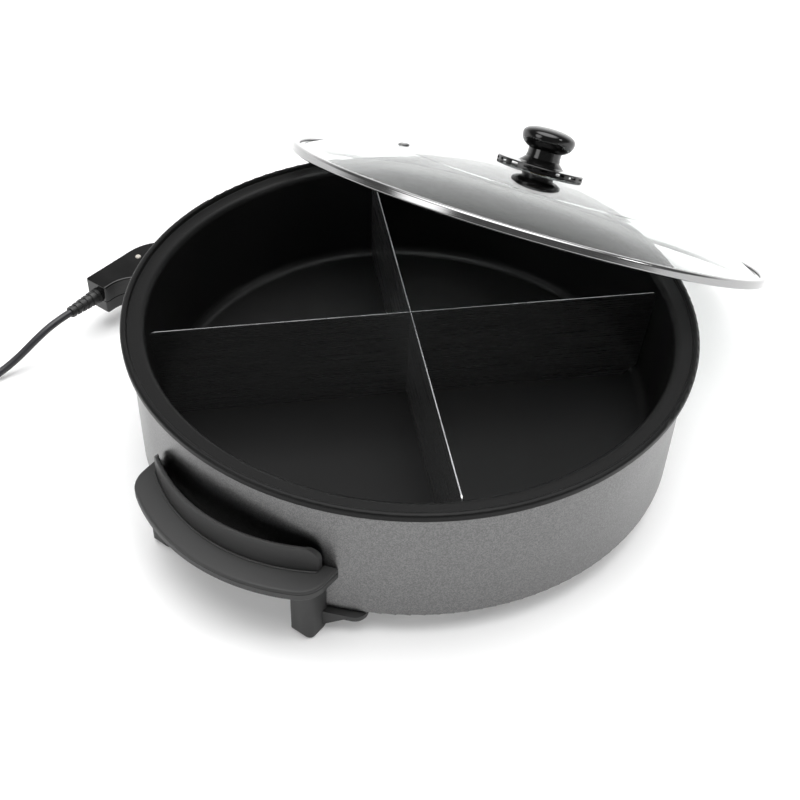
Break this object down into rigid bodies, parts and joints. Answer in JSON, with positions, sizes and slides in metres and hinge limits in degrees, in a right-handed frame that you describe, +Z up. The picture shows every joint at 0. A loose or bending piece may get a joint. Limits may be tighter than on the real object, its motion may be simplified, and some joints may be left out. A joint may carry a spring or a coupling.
{
  "type": "electric skillet",
  "caption": "Round electric skillet with a divided pan, two leg handles, a leaning domed glass lid and a plug-in heat control on a cord",
  "frame": {"origin": "on the worktop, directly under the centre of the round pan", "axes": "+Z up; the two handles are on -X and +X; the heat control plugs in on +Y; the lid leans over the +X handle"},
  "size_m": [0.7259, 0.5964, 0.2065],
  "materials": {
    "pan_coating": "satin non-stick coating on cast aluminium",
    "housing_paint": "fine metallic hammer paint",
    "sheet_steel": "plain",
    "bright_steel": "polished",
    "plated": "plated",
    "spreader": "plain",
    "element": "oxidised",
    "ceramic": null,
    "phenolic": "moulded",
    "handle_plastic": "fine texture",
    "control_plastic": "gloss",
    "knob_plastic": "gloss",
    "lens": "translucent, nearly clear",
    "screw_steel": "zinc",
    "brass": "plain",
    "silicone": "matt",
    "pad_rubber": "matt",
    "cord_rubber": "satin",
    "plug_plastic": "satin",
    "lid_glass": "clear"
  },
  "bodies": {
    "pan": {"inner_pan": "pan_coating", "outer_housing": "housing_paint", "base_cover": "sheet_steel", "heating_element": "element", "heat_spreader": "spreader", "spreader_stud": "screw_steel", "probe_sleeve": "sheet_steel", "terminal_block": "ceramic", "terminal_pins": "plated", "socket_shroud": "phenolic", "socket_screws": "screw_steel", "earth_spring": "bright_steel", "handle_left": "handle_plastic", "handle_right": "handle_plastic", "leg_bracket_left": "handle_plastic", "leg_bracket_right": "handle_plastic", "handle_screws": "screw_steel", "bracket_screws": "screw_steel", "feet": "pad_rubber"},
    "divider": {"divider_long": "sheet_steel", "divider_cross": "sheet_steel"},
    "lid": {"lid_glass": "lid_glass", "lid_band": "bright_steel", "lid_gasket": "silicone", "vent_grommet": "bright_steel", "knob_flange": "knob_plastic", "knob_cap": "knob_plastic", "knob_insert": "brass", "knob_seal": "silicone", "knob_washer": "knob_plastic", "knob_screw": "brass"},
    "heat_control": {"control_upper_shell": "control_plastic", "control_lower_shell": "control_plastic", "control_screws": "screw_steel", "contact_carrier": "phenolic", "contact_sleeves": "plated", "probe_rod": "bright_steel", "thermostat_switch": "phenolic", "indicator_lens": "lens", "strain_relief": "cord_rubber", "power_cord": "cord_rubber", "cord_coil": "cord_rubber", "cord_tail": "cord_rubber", "coil_tie": "cord_rubber", "mains_plug": "plug_plastic", "plug_pins": "plated", "plug_relief": "cord_rubber"},
    "dial": {"control_dial": "control_plastic", "dial_shaft": "plated"}
  },
  "joints": [
    {"name": "divider_lift", "type": "slide", "parent": "pan", "child": "divider", "axis": [0, 0, 1], "range_m": [0, 0.1]},
    {"name": "lid_lift", "type": "slide", "parent": "divider", "child": "lid", "axis": [0, 0, 1], "range_m": [0, 0.16]},
    {"name": "control_pull", "type": "slide", "parent": "pan", "child": "heat_control", "axis": [0, 1, 0], "range_m": [0, 0.085]},
    {"name": "dial_turn", "type": "hinge", "parent": "heat_control", "child": "dial", "pos_m": [0, 0.238, 0.0462], "axis": [0, 0, 1], "range_deg": [-270, 0]}
  ]
}
